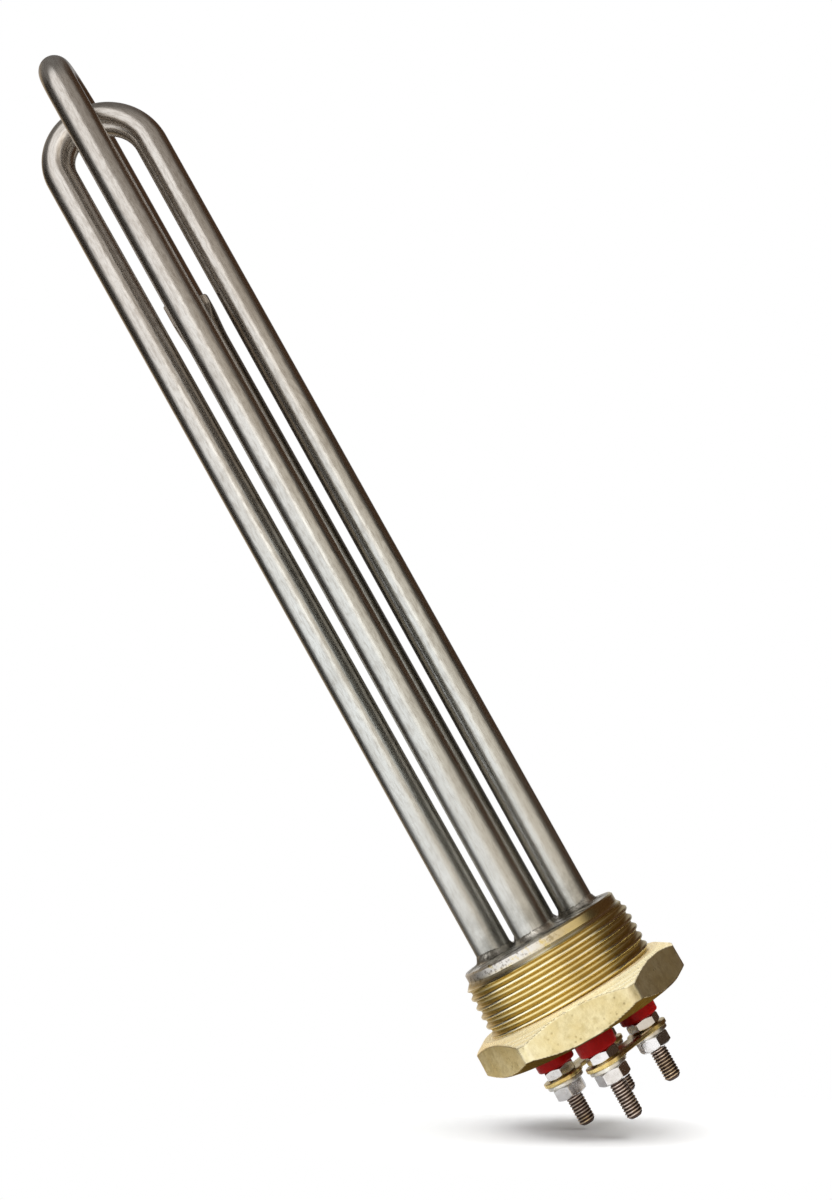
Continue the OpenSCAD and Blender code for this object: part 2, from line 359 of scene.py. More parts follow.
def makeTubeSteel(name):
    tones = tubeTones[name]
    material, tree, shader = newMaterial(name, 1.0, 0.2, tones["clean"])
    place = objectPlace(tree)
    path = attribute(tree, "draw", "Vector")
    lines = drawnLines(tree, path, 2600.0, 60.0)
    marks = grimeMask(tree, place, 130.0, 0.42, 0.2)
    specks = grimeMask(tree, place, 900.0, 0.36, 0.1)
    tone = blendColour(tree, remap(tree, lines["Broad"], 0.3, 0.7, 0, 1), tones["clean"], tones["warm"])
    for mask in (marks, specks):
        tone = tint(tree, tone, mask, 0.4, tones["stain"])
    # short scratches left by polishing
    scratches = drawnLines(tree, path, 2400.0, 450.0)["Lines"]
    tone = blendColour(tree, remap(tree, scratches, 0.45, 0.7, 0, 0.6), tone, tones["stain"])
    # browner towards the bends, cooler towards the plug
    height = splitXYZ(tree, place)[2]
    bend = remap(tree, height, *tubeHeat["bendSpan"], 0, 1, True)
    heat = blendColour(tree, bend, tubeHeat["cool"], tubeHeat["brown"])
    tone = blendColour(tree, 1.0, tone, heat, "MULTIPLY")
    # dulled and smudged by the brazing heat near the plug
    foot = remap(tree, height, *tubeHeat["footSpan"], 1, 0, True)
    smudges = grimeMask(tree, place, 260.0, 0.5, 0.25)
    soot = calc(tree, "MULTIPLY", remap(tree, height, *tubeHeat["sootSpan"], 0.6, 0, True), smudges)
    tone = tint(tree, tone, foot, 0.5, tubeHeat["dull"])
    tone = blendColour(tree, soot, tone, tubeHeat["soot"])
    rough = remap(tree, lines["Lines"], 0.3, 0.7, 0.18, 0.28)
    rough = calc(tree, "MULTIPLY_ADD", marks, 0.06, rough)
    rough = calc(tree, "MULTIPLY_ADD", foot, 0.12, rough)
    connect(tree, shader, tone, rough, scratches, 0.4, 0.06)
    return material


# turned brass of the thread and the lead ring; spans are in metres, up and sideways
# the root and crest tones are painted highlights, the flank tone is painted shade
threadTones = {"plain": (0.78, 0.62, 0.28), "root": (0.9, 0.79, 0.45), "flank": (0.6, 0.45, 0.15),
               "shoulder": (0.78, 0.65, 0.3), "crest": (0.98, 0.93, 0.76), "dirt": (0.49, 0.37, 0.135),
               "lead": (0.5, 0.4, 0.24), "filler": (0.74, 0.72, 0.68), "soot": (0.26, 0.23, 0.2),
               "leadSpan": (0.0118, 0.0137), "smearSpan": (0.0104, -0.0035)}


def makeTurnedBrass():
    tones = threadTones
    material, tree, shader = newMaterial("turnedBrass", 1.0, 0.25, tones["plain"])
    place = objectPlace(tree)
    split = splitXYZ(tree, place)
    ridge = attribute(tree, "ridge")
    rings = cloudNoise(tree, joinXYZ(tree, split[2]), 5200.0, 2.0)
    wide = grimeMask(tree, place, 150.0, 0.5, 0.2)
    # painted highlights on the crest and on a thin line at the root, painted shade on the flanks between
    tone = blendColour(tree, remap(tree, ridge, 0.05, 0.16, 0, 1), tones["root"], tones["flank"])
    tone = blendColour(tree, remap(tree, ridge, 0.6, 0.8, 0, 1), tone, tones["shoulder"])
    tone = blendColour(tree, remap(tree, ridge, 0.86, 0.93, 0, 1), tone, tones["crest"])
    tone = tint(tree, tone, wide, 0.25, tones["dirt"])
    # filler metal that ran over the lead ring on the near left side
    high = remap(tree, split[2], *tones["leadSpan"], 0, 1)
    side = remap(tree, split[0], *tones["smearSpan"], 0, 1, True)
    smear = grimeMask(tree, place, 420.0, 0.6, 0.07)
    soot = grimeMask(tree, place, 900.0, 0.42, 0.08)
    filler = calc(tree, "MULTIPLY", calc(tree, "MULTIPLY", high, side), smear)
    silver = blendColour(tree, soot, tones["filler"], tones["soot"])
    tone = tint(tree, tone, high, 0.35, tones["lead"])
    tone = blendColour(tree, filler, tone, silver)
    rough = remap(tree, ridge, 0.3, 0.9, 0.4, 0.22)
    rough = calc(tree, "MULTIPLY_ADD", filler, 0.16, rough)
    lump = calc(tree, "MULTIPLY_ADD", rings, 0.35, filler)
    connect(tree, shader, tone, rough, lump, 0.3, 0.12)
    return material


# cast brass of the hexagon, with its turned seat
# the under tone is painted shade for the faces under the hexagon
castTones = {"plain": (0.76, 0.68, 0.42), "pale": (0.86, 0.78, 0.5), "deep": (0.75, 0.64, 0.34),
             "spot": (0.5, 0.41, 0.18), "pit": (0.3, 0.22, 0.08), "seatPale": (0.95, 0.88, 0.62),
             "seatDeep": (0.84, 0.73, 0.43), "edge": (0.88, 0.8, 0.56), "under": (0.042, 0.018, 0.004),
             "shine": (0.85, 0.62, 0.32)}


def makeCastBrass():
    tones = castTones
    material, tree, shader = newMaterial("castBrass", 0.94, 0.45, tones["plain"])
    place = objectPlace(tree)
    split = splitXYZ(tree, place)
    grain = mouldGrain(tree, place, 1250.0, 0.7)
    wide = grimeMask(tree, place, 160.0, 0.5, 0.2)
    spots = grimeMask(tree, place, 520.0, 0.46, 0.12)
    turned = attribute(tree, "turned")
    edge = attribute(tree, "edge")
    tone = blendColour(tree, wide, tones["pale"], tones["deep"])
    tone = tint(tree, tone, spots, 0.4, tones["spot"])
    tone = tint(tree, tone, grain["Pit"], 0.8, tones["pit"])
    # the seat is turned; the underside and the lower chamfer are painted nearly black as painted shade
    reach = vectorCalc(tree, "LENGTH", joinXYZ(tree, split[0], split[1]), output="Value")
    rings = cloudNoise(tree, joinXYZ(tree, reach), 1100.0, 1.0)
    gold = blendColour(tree, remap(tree, rings, 0.35, 0.65, 0, 1), tones["seatPale"], tones["seatDeep"])
    tone = blendColour(tree, turned, tone, gold)
    tone = tint(tree, tone, edge, 0.6, tones["edge"])
    tone = tint(tree, tone, attribute(tree, "under"), 0.95, tones["under"])
    rough = remap(tree, grain["Height"], 0.2, 0.75, 0.5, 0.34)
    rough = calc(tree, "MULTIPLY_ADD", calc(tree, "MAXIMUM", edge, turned), -0.12, rough)
    wire(tree, remap(tree, turned, 0, 1, 0.96, 0.6), shader.inputs["Metallic"])
    cast = calc(tree, "MULTIPLY", grain["Height"], calc(tree, "SUBTRACT", 1.0, turned))
    relief = calc(tree, "MULTIPLY_ADD", rings, calc(tree, "MULTIPLY", turned, 0.3), cast)
    connect(tree, shader, tone, rough, relief, 0.45, 0.25)
    shader.inputs["Specular Tint"].default_value = (*tones["shine"], 1)
    return material


# silver filler round the tube roots
brazeTones = {"plain": (0.6, 0.58, 0.53), "silver": (0.74, 0.71, 0.64), "soot": (0.12, 0.11, 0.09)}


def makeBrazeSilver():
    material, tree, shader = newMaterial("brazeSilver", 1.0, 0.38, brazeTones["plain"])
    place = objectPlace(tree)
    lumps = mouldGrain(tree, place, 620.0, 0.9)["Height"]
    soot = grimeMask(tree, place, 260.0, 0.48, 0.16)
    tone = blendColour(tree, soot, brazeTones["silver"], brazeTones["soot"])
    connect(tree, shader, tone, remap(tree, soot, 0, 1, 0.3, 0.55), lumps, 0.7, 0.4)
    return material


# dark stud steel whose crests are lighter, partly wear and partly a painted highlight; the right stud's
# crests turn yellow towards its end
studTones = {"plain": (0.3, 0.22, 0.17), "root": (0.085, 0.055, 0.042), "crest": (0.72, 0.6, 0.52),
             "yellow": (0.72, 0.5, 0.18), "yellowSide": (0.006, 0.008), "yellowEnd": (-0.02, -0.024)}


def makeStudSteel():
    tones = studTones
    material, tree, shader = newMaterial("studSteel", 1.0, 0.36, tones["plain"])
    place = objectPlace(tree)
    split = splitXYZ(tree, place)
    worn = grimeMask(tree, place, 700.0, 0.55, 0.15)
    brassy = grimeMask(tree, place, 130.0, 0.36, 0.1)
    yellow = calc(tree, "MULTIPLY", remap(tree, split[0], *tones["yellowSide"], 0, 0.4),
                  remap(tree, split[2], *tones["yellowEnd"], 0, 1, True))
    top = blendColour(tree, calc(tree, "MAXIMUM", yellow, brassy), tones["crest"], tones["yellow"])
    crest = remap(tree, attribute(tree, "crest"), 0.55, 0.95, 0, 1)
    # lighter crests: part wear, part painted highlight
    wearAndHighlight = calc(tree, "MULTIPLY", crest, remap(tree, worn, 0, 1, 0.45, 1))
    tone = blendColour(tree, wearAndHighlight, tones["root"], top)
    connect(tree, shader, tone, remap(tree, wearAndHighlight, 0, 1, 0.5, 0.26), worn, 0.15, 0.08)
    return material


# red silicone of the bushes
bushTones = {"plain": (0.36, 0.01, 0.008), "red": (0.44, 0.006, 0.004), "deep": (0.32, 0.005, 0.004),
             "gloss": 0.1, "glow": 0.05, "glowReach": (0.001, 0.0003, 0.0002)}


def makeSilicone():
    material, tree, shader = newMaterial("redSilicone", 0.0, 0.3, bushTones["plain"])
    cloud = grimeMask(tree, objectPlace(tree), 300.0, 0.5, 0.25)
    tone = blendColour(tree, cloud, bushTones["red"], bushTones["deep"])
    connect(tree, shader, tone, remap(tree, cloud, 0, 1, 0.24, 0.36), cloud, 0.06, 0.1)
    shader.inputs["Specular IOR Level"].default_value = bushTones["gloss"]
    shader.inputs["Subsurface Weight"].default_value = bushTones["glow"]
    shader.inputs["Subsurface Radius"].default_value = bushTones["glowReach"]
    return material


# smooth metals that differ in tone and polish
plates = {"nutPlate": {"clean": (0.71, 0.7, 0.7), "dull": (0.56, 0.54, 0.52), "rough": 0.18},
          "washerPlate": {"clean": (0.76, 0.75, 0.7), "dull": (0.52, 0.48, 0.4), "rough": 0.28},
          "linkBrass": {"clean": (0.78, 0.62, 0.27), "dull": (0.56, 0.4, 0.13), "rough": 0.26},
          "coilWire": {"clean": (0.3, 0.29, 0.28), "dull": (0.16, 0.15, 0.15), "rough": 0.5}}


def makePlate(name):
    tones = plates[name]
    material, tree, shader = newMaterial(name, 1.0, tones["rough"], tones["clean"])
    place = objectPlace(tree)
    wide = grimeMask(tree, place, 320.0, 0.42, 0.16)
    fine = cloudNoise(tree, place, 2600.0, 3.0)
    tone = blendColour(tree, wide, tones["clean"], tones["dull"])
    rough = remap(tree, fine, 0.3, 0.7, tones["rough"] - 0.05, tones["rough"] + 0.07)
    rough = calc(tree, "MULTIPLY_ADD", wide, 0.08, rough)
    connect(tree, shader, tone, rough, fine, 0.1, 0.06)
    return material


# insulating powder inside the sheaths
powderTones = {"plain": (0.86, 0.85, 0.8), "low": (0.8, 0.79, 0.74), "high": (0.9, 0.89, 0.86), "rough": 0.9}


def makePowder():
    material, tree, shader = newMaterial("pressedPowder", 0.0, powderTones["rough"], powderTones["plain"])
    grain = mouldGrain(tree, objectPlace(tree), 3000.0, 0.3)["Height"]
    tone = blendColour(tree, remap(tree, grain, 0.3, 0.7, 0, 1), powderTones["low"], powderTones["high"])
    connect(tree, shader, tone, powderTones["rough"], grain, 0.4, 0.1)
    return material


sheathSteel, shadedPocketSteel = [makeTubeSteel(name) for name in tubeTones]
turnedBrass = makeTurnedBrass()
castBrass = makeCastBrass()
brazeSilver = makeBrazeSilver()
studSteel = makeStudSteel()
redSilicone = makeSilicone()
nutPlate, washerPlate, linkBrass, coilWire = [makePlate(name) for name in plates]
pressedPowder = makePowder()
print("stage: finishes")


# what the geometry trees share
def roundSpot(tree, split, radius, height):
    # a point in the same direction from the axis, at a new radius and height
    ray = vectorCalc(tree, "NORMALIZE", joinXYZ(tree, split[0], split[1]))
    arm = put(tree, "ShaderNodeVectorMath", {0: ray, "Scale": radius}, operation="SCALE").outputs[0]
    return vectorCalc(tree, "ADD", arm, joinXYZ(tree, 0.0, 0.0, height))


def moveTo(tree, shape, spot):
    return put(tree, "GeometryNodeSetPosition", {"Geometry": shape, "Position": spot}).outputs[0]


def storeValue(tree, shape, name, value, kind):
    return put(tree, "GeometryNodeStoreNamedAttribute", {"Geometry": shape, "Name": name, "Value": value},
               data_type=kind, domain="POINT").outputs[0]


def storedValue(tree, name, kind):
    return put(tree, "GeometryNodeInputNamedAttribute", {"Name": name}, data_type=kind).outputs[0]


def endTree(tree, src, out, shape):
    real = put(tree, "GeometryNodeRealizeInstances", {0: shape})
    done = put(tree, "GeometryNodeSetMaterial", {"Geometry": real.outputs[0], "Material": src["Material"]})
    wire(tree, done.outputs[0], out[0])
    return tree


# threaded rod: used for the tank thread with its lead ring, and for the studs
def makeThreadTree():
    tree, src, out = newTree("threadedRod", "GeometryNodeTree", [
        ("Radius", "Float", 0.021), ("Depth", "Float", 0.001), ("Pitch", "Float", 0.0023),
        ("Length", "Float", 0.016), ("Neck Radius", "Float", 0.0), ("Neck Length", "Float", 0.0),
        ("Neck Slope", "Float", 1.0), ("Rim", "Float", 0.0), ("Foot", "Float", 0.0),
        ("Phase", "Float", 0.0), ("Crest Flat", "Float", 0.14), ("Root Flat", "Float", 0.2),
        ("Segments", "Int", 96), ("Rings", "Int", 100), ("Place", "Vector", None),
        ("Material", "Material", None)], [("Geometry", "Geometry")])
    rod = put(tree, "GeometryNodeMeshCylinder", {"Vertices": src["Segments"], "Side Segments": src["Rings"],
                                                 "Radius": src["Radius"], "Depth": src["Length"]})
    split = splitXYZ(tree, put(tree, "GeometryNodeInputPosition").outputs[0])
    height = calc(tree, "ADD", split[2], calc(tree, "MULTIPLY", src["Length"], 0.5))
    left = calc(tree, "SUBTRACT", src["Length"], height)
    angle = calc(tree, "DIVIDE", calc(tree, "ARCTAN2", split[1], split[0]), fullTurn)
    turns = calc(tree, "SUBTRACT", calc(tree, "DIVIDE", height, src["Pitch"]), angle)
    part = calc(tree, "FRACT", calc(tree, "ADD", turns, src["Phase"]))
    ridge = calc(tree, "SUBTRACT", 1.0, calc(tree, "ABSOLUTE", calc(tree, "MULTIPLY_ADD", part, 2.0, -1.0)))
    crestFrom = calc(tree, "SUBTRACT", 1.0, src["Crest Flat"])
    flank = remap(tree, ridge, src["Root Flat"], crestFrom, 0, 1, True)
    cut = calc(tree, "MULTIPLY", calc(tree, "SUBTRACT", 1.0, flank), src["Depth"])
    radius = calc(tree, "SUBTRACT", src["Radius"], cut)
    # a cone leads from the thread onto the plain neck
    underNeck = calc(tree, "SUBTRACT", left, src["Neck Length"])
    cone = calc(tree, "MULTIPLY_ADD", underNeck, src["Neck Slope"], src["Neck Radius"])
    cone = calc(tree, "MAXIMUM", src["Neck Radius"], cone)
    noNeck = calc(tree, "COMPARE", src["Neck Length"], 0.0, 1e-6)
    radius = calc(tree, "MINIMUM", radius, calc(tree, "ADD", cone, noNeck))
    endRadius = calc(tree, "MAXIMUM", src["Neck Radius"], calc(tree, "MULTIPLY", src["Radius"], noNeck))
    rim = calc(tree, "ADD", calc(tree, "SUBTRACT", endRadius, src["Rim"]), left)
    foot = calc(tree, "ADD", calc(tree, "SUBTRACT", src["Radius"], src["Foot"]), height)
    radius = calc(tree, "MINIMUM", calc(tree, "MINIMUM", radius, rim), foot)
    spot = vectorCalc(tree, "ADD", roundSpot(tree, split, radius, height), src["Place"])
    return endTree(tree, src, out, moveTo(tree, rod.outputs[0], spot))


# hexagon block with turned ends: the plug's hexagon and the nuts
def makeHexTree():
    tree, src, out = newTree("hexBlock", "GeometryNodeTree", [
        ("Across Flats", "Float", 0.048), ("Corner Diameter", "Float", 0.054), ("Height", "Float", 0.008),
        ("Trim Width", "Float", 1.0), ("Top Diameter", "Float", 0.046), ("Top Drop", "Float", 0.0025),
        ("Low Diameter", "Float", 0.047), ("Low Rise", "Float", 0.002), ("Rounding", "Float", 0.0003),
        ("Lumps", "Float", 0.0), ("Lump Scale", "Float", 300.0), ("Segments", "Int", 288),
        ("Rings", "Int", 40), ("Material", "Material", None)], [("Geometry", "Geometry")])
    flat = calc(tree, "MULTIPLY", src["Across Flats"], 0.5)
    half = calc(tree, "MULTIPLY", src["Height"], 0.5)
    corner = calc(tree, "MULTIPLY", src["Corner Diameter"], 0.5)
    block = put(tree, "GeometryNodeMeshCylinder", {"Vertices": src["Segments"], "Side Segments": src["Rings"],
                                                   "Radius": flat, "Depth": src["Height"]})
    spot = put(tree, "GeometryNodeInputPosition").outputs[0]
    split = splitXYZ(tree, spot)
    angle = calc(tree, "ARCTAN2", split[1], split[0])
    off = calc(tree, "WRAP", calc(tree, "SUBTRACT", angle, math.pi / 6), math.pi / 6, -math.pi / 6)
    radius = calc(tree, "DIVIDE", flat, calc(tree, "COSINE", off))
    radius = calc(tree, "SMOOTH_MIN", radius, corner, src["Rounding"])
    # two opposite corners may be trimmed to a width
    sideways = calc(tree, "MAXIMUM", calc(tree, "ABSOLUTE", calc(tree, "COSINE", angle)), 0.01)
    trim = calc(tree, "DIVIDE", calc(tree, "MULTIPLY", src["Trim Width"], 0.5), sideways)
    side = calc(tree, "SMOOTH_MIN", radius, trim, src["Rounding"])
    radius = side
    for end, rise, sign in (("Top Diameter", "Top Drop", -1.0), ("Low Diameter", "Low Rise", 1.0)):
        away = calc(tree, "MULTIPLY_ADD", split[2], sign, half)
        start = calc(tree, "MULTIPLY", src[end], 0.5)
        slope = calc(tree, "DIVIDE", calc(tree, "SUBTRACT", corner, start), src[rise])
        cone = calc(tree, "MULTIPLY_ADD", away, slope, start)
        radius = calc(tree, "SMOOTH_MIN", radius, cone, src["Rounding"])
    # cast lumps on the flats, none on the turned ends
    lumps = calc(tree, "SUBTRACT", cloudNoise(tree, spot, src["Lump Scale"], 3.0), 0.5)
    bare = remap(tree, calc(tree, "SUBTRACT", side, radius), 0.0002, 0.0008, 1, 0)
    radius = calc(tree, "MULTIPLY_ADD", calc(tree, "MULTIPLY", lumps, src["Lumps"]), bare, radius)
    return endTree(tree, src, out, moveTo(tree, block.outputs[0], roundSpot(tree, split, radius, split[2])))


threadTree = makeThreadTree()
hexTree = makeHexTree()


def cutWith(piece, cutter):
    tool = addPiece("cutter", cutter)
    cut = piece.modifiers.new("cut", "BOOLEAN")
    cut.operation = "DIFFERENCE"
    cut.solver = "EXACT"
    cut.object = tool
    bakeDown(piece)
    bpy.data.objects.remove(tool)


# screw plug
plug = {"threadRadius": 20.95, "threadDepth": 0.8, "pitch": 2.309, "threadTop": 13.0, "phase": 0.742,
        "crestFlat": 0.1, "rootFlat": 0.16, "leadRadius": 19.6, "leadSlope": 0.84, "rim": 0.4,
        "top": 15.2, "sink": 0.5, "flats": 48.0, "corner": 54.2, "trim": 51.5, "hexHeight": 8.2,
        "topWidth": 46.1, "topDrop": 2.5, "lowWidth": 47.3, "lowRise": 2.1, "rounding": 0.25,
        "lumps": 0.16, "lumpScale": 480.0, "edgeWear": 0.55, "leadRidge": 0.8, "tubeHole": 4.5,
        "pocketHole": 5.35, "holeSpan": (-14, 22), "leadFrom": 12.8, "seatFrom": -0.02, "paintedShadeFrom": -8.15}


def hexEdges(spots):
    # nearness to an edge of the hexagon, from the two lowest of its bounding radii
    angle = np.arctan2(spots[:, 1], spots[:, 0])
    off = angle % (math.pi / 3) - math.pi / 6
    corner = plug["corner"] / 2
    topSlope = (corner - plug["topWidth"] / 2) / plug["topDrop"]
    lowSlope = (corner - plug["lowWidth"] / 2) / plug["lowRise"]
    limits = {"flats": plug["flats"] / 2 / np.cos(off),
              "corner": np.full_like(off, corner),
              "topEnd": plug["topWidth"] / 2 - spots[:, 2] * topSlope,
              "lowEnd": plug["lowWidth"] / 2 + (spots[:, 2] + plug["hexHeight"]) * lowSlope,
              "trim": plug["trim"] / 2 / np.maximum(np.abs(np.cos(angle)), 0.01)}
    radii = np.stack(list(limits.values()))
    face = np.array(list(limits))[radii.argmin(axis=0)]
    radii.sort(axis=0)
    return np.clip(1 - (radii[1] - radii[0]) / plug["edgeWear"], 0, 1), face


def makePlug():
    barrel = runTree(
        "plugBarrel", threadTree,
        {"Radius": plug["threadRadius"], "Depth": plug["threadDepth"], "Pitch": plug["pitch"],
         "Length": plug["top"] + plug["sink"], "Neck Radius": plug["leadRadius"],
         "Neck Length": plug["top"] - plug["threadTop"], "Rim": plug["rim"]},
        {"Neck Slope": plug["leadSlope"], "Phase": plug["phase"], "Crest Flat": plug["crestFlat"],
         "Root Flat": plug["rootFlat"], "Segments": 256, "Rings": 150,
         "Place": (0, 0, -plug["sink"] * mm), "Material": turnedBrass})
    block = runTree(
        "plugHex", hexTree,
        {"Across Flats": plug["flats"], "Corner Diameter": plug["corner"], "Trim Width": plug["trim"],
         "Height": plug["hexHeight"], "Top Diameter": plug["topWidth"], "Top Drop": plug["topDrop"],
         "Low Diameter": plug["lowWidth"], "Low Rise": plug["lowRise"], "Rounding": plug["rounding"],
         "Lumps": plug["lumps"]},
        {"Lump Scale": plug["lumpScale"], "Segments": 432, "Rings": 44, "Material": castBrass})
    block.data.transform(Matrix.Translation((0, 0, -plug["hexHeight"] / 2 * mm)))
    wells = [(plug["tubeHole"], place) for place in legs.values()] + [(plug["pocketHole"], (0, 0))]
    holes = [ringStack("hole", [circle(r, z, place) for z in plug["holeSpan"]]) for r, place in wells]
    cutter = joinMeshes("holes", holes)
    for index, shell in enumerate((barrel, block)):
        cutWith(shell, cutter)
        shell.data.polygons.foreach_set("material_index", [index] * len(shell.data.polygons))
    whole = joinMeshes("screwPlug", [barrel.data, block.data])
    for shell in (barrel, block):
        bpy.data.objects.remove(shell)
    tidyMesh(whole, 24)
    # masks for the finishes
    spots = points(whole) / mm
    height = spots[:, 2]
    turns = (height + plug["sink"]) / plug["pitch"] - np.arctan2(spots[:, 1], spots[:, 0]) / fullTurn
    ridge = 1 - np.abs((turns + plug["phase"]) % 1 * 2 - 1)
    ridge[height > plug["leadFrom"]] = plug["leadRidge"]
    setValues(whole, "ridge", ridge)
    near, face = hexEdges(spots)
    setValues(whole, "edge", near * (height < plug["seatFrom"]))
    setValues(whole, "turned", (face == "topEnd") | (height > plug["seatFrom"]))
    # faces under the hexagon take the painted shade
    setValues(whole, "under", (face == "lowEnd") | (height < plug["paintedShadeFrom"]))
    return dress(addPiece("screwPlug", whole), [turnedBrass, castBrass], "screw_plug")


makePlug()
print("stage: screw plug")


# hairpin elements: a tube drawn along its own path
hairpin = {"radius": 4.35, "wall": 0.7, "reachA": 257.6, "reachB": 272.6, "leanA": 0.42, "leanFrom": 19.2,
           "shiftA": -1.9, "foot": -8.5, "around": 64}


def hairpinSide(reach, lean, shift):
    # one leg from its foot, and its half of the bend up to the top
    a = math.radians(lean)
    out = legs["right"][0]
    high = reach - hairpin["radius"]
    bend = (math.cos(a) * (out - shift) + math.sin(a) * (high - hairpin["leanFrom"])) / (1 + math.sin(a))
    straight = (high - bend * (1 + math.sin(a)) - hairpin["leanFrom"]) / math.cos(a)
    line = [(out, z) for z in np.linspace(hairpin["foot"], hairpin["leanFrom"], 8)]
    for u in np.linspace(0, straight, 60)[1:]:
        line.append((out + u * math.sin(a), hairpin["leanFrom"] + u * math.cos(a)))
    for t in np.linspace(-a, math.pi / 2, 31)[1:]:
        line.append((shift + bend * math.cos(t), high - bend + bend * math.sin(t)))
    return line


def hairpinPath(reach, lean, shift):
    right = hairpinSide(reach, lean, shift)
    left = hairpinSide(reach, lean, -shift)
    return right + [(-x, z) for x, z in reversed(left[:-1])]


def makeTubeTree():
    tree, src, out = newTree("tubeOnPath", "GeometryNodeTree", [
        ("Geometry", "Geometry", None), ("Radius", "Float", 0.005), ("Around", "Int", 64),
        ("Material", "Material", None)], [("Geometry", "Geometry")])
    line = put(tree, "GeometryNodeMeshToCurve", {0: src["Geometry"]}).outputs[0]
    run = put(tree, "GeometryNodeSplineParameter").outputs["Length"]
    line = storeValue(tree, line, "run", run, "FLOAT")
    rim = put(tree, "GeometryNodeCurvePrimitiveCircle", {"Resolution": src["Around"],
                                                         "Radius": src["Radius"]}).outputs[0]
    spot = put(tree, "GeometryNodeInputPosition").outputs[0]
    rim = storeValue(tree, rim, "rim", spot, "FLOAT_VECTOR")
    skin = put(tree, "GeometryNodeCurveToMesh", {"Curve": line, "Profile Curve": rim}).outputs[0]
    # place round the tube and along it, for the drawing lines
    split = splitXYZ(tree, storedValue(tree, "rim", "FLOAT_VECTOR"))
    draw = joinXYZ(tree, split[0], split[1], storedValue(tree, "run", "FLOAT"))
    return endTree(tree, src, out, storeValue(tree, skin, "draw", draw, "FLOAT_VECTOR"))


tubeTree = makeTubeTree()


def makeHairpin(name, reach, lean, shift, quarter, node):
    path = hairpinPath(reach, lean, shift)
    verts = [((0, x * mm, z * mm) if quarter else (x * mm, 0, z * mm)) for x, z in path]
    host = bpy.data.meshes.new(name)
    host.from_pydata(verts, [(i, i + 1) for i in range(len(verts) - 1)], [])
    piece = runTree(name, tubeTree, {"Radius": hairpin["radius"]},
                    {"Around": hairpin["around"], "Material": sheathSteel}, host)
    tidyMesh(piece.data, 40)
    skin = piece.modifiers.new("wall", "SOLIDIFY")
    skin.thickness = hairpin["wall"] * mm
    skin.offset = -1
    bakeDown(piece)
    piece.data.set_sharp_from_angle(angle=math.radians(40))
    return dress(piece, [sheathSteel], node)


makeHairpin("elementA", hairpin["reachA"], hairpin["leanA"], hairpin["shiftA"], False, "element_a_sheath")
makeHairpin("elementB", hairpin["reachB"], 0.0, 0.0, True, "element_b_sheath")
print("stage: hairpin elements")


# sensor pocket: a round tube with its end pressed flat and cut on a slant
pocket = {"radius": 5.25, "bore": 4.35, "foot": -9.5, "reach": 196.8, "flatLength": 5.2, "taper": 10.0,
          "flatWidth": 11.5, "flatThick": 3.0, "slant": 14.0, "tipEdge": 0.25, "around": 96}
taperFrom = pocket["reach"] - pocket["flatLength"] - pocket["taper"]


def pocketRing(z):
    t = min(max((z - taperFrom) / pocket["taper"], 0), 1)
    ease = t * t * (3 - 2 * t)
    half = pocket["radius"] + (pocket["flatThick"] / 2 - pocket["radius"]) * t
    wide = pocket["radius"] + (pocket["flatWidth"] / 2 - pocket["radius"]) * ease
    part = min(max((z - taperFrom - pocket["taper"]) / pocket["flatLength"], 0), 1)
    skew = part * math.tan(math.radians(pocket["slant"]))
    ring = []
    for a in np.linspace(0, fullTurn, pocket["around"], endpoint=False):
        x = wide * math.cos(a)
        y = pocket["radius"] * math.sin(a)
        y = math.copysign(min(abs(y), half), y)
        ring.append((x * mm, y * mm, (z - skew * (x + pocket["flatWidth"] / 2)) * mm))
    return ring


def makePocket():
    edge = pocket["tipEdge"]
    inside = (taperFrom - 1, 100, 40, pocket["foot"])
    outside = [pocket["foot"], pocket["foot"] + 0.2, *np.linspace(0, taperFrom, 24),
               *np.linspace(taperFrom, pocket["reach"] - edge, 40)[1:]]
    inner = [circle(pocket["bore"], z, (0, 0), pocket["around"]) for z in inside]
    outer = [pocketRing(z) for z in outside]
    tip = [(x * 0.975, y * 0.86, z + edge * mm) for x, y, z in outer[-1]]
    mesh = ringStack("sensorPocket", inner + outer + [tip])
    tidyMesh(mesh, 26)
    draw = mesh.attributes.new("draw", "FLOAT_VECTOR", "POINT")
    draw.data.foreach_set("vector", points(mesh).reshape(-1))
    return dress(addPiece("sensorPocket", mesh), [shadedPocketSteel], "sensor_pocket")


makePocket()
print("stage: sensor pocket")


# braze: lumpy filler over the plug's top face, climbing each tube
braze = {"edge": 18.8, "edgeWander": 0.35, "skin": 0.26, "climb": 1.7, "reach": 1.5, "top": 15.2,
         "sink": 0.25, "tubeRadius": 4.4, "rings": 90, "around": 220}


def brazeHeight(x, y):
    rough = noise.fractal(Vector((x * 0.35, y * 0.35, 3.1)), 1.0, 2.0, 4)
    height = braze["skin"] * (0.75 + 0.5 * rough)
    for place, radius in [*[(p, braze["tubeRadius"]) for p in legs.values()], ((0, 0), pocket["radius"])]:
        gap = math.hypot(x - place[0], y - place[1]) - radius
        lump = noise.noise(Vector((x * 0.28 + place[0], y * 0.28 + place[1], 0.4)))
        reach = braze["reach"] * (1 + 0.35 * lump)
        near = min(max(1 - gap / reach, 0), 1)
        height = max(height, braze["climb"] * (1 + 0.4 * lump) * near ** 2.6 + braze["skin"] * 0.7)
    rim = math.hypot(x, y) / braze["edge"]
    height += 0.07 * noise.noise(Vector((x * 1.3, y * 1.3, 7.7)))
    return max(height, 0.05) * min(1, max(0, (1 - rim) * 14))


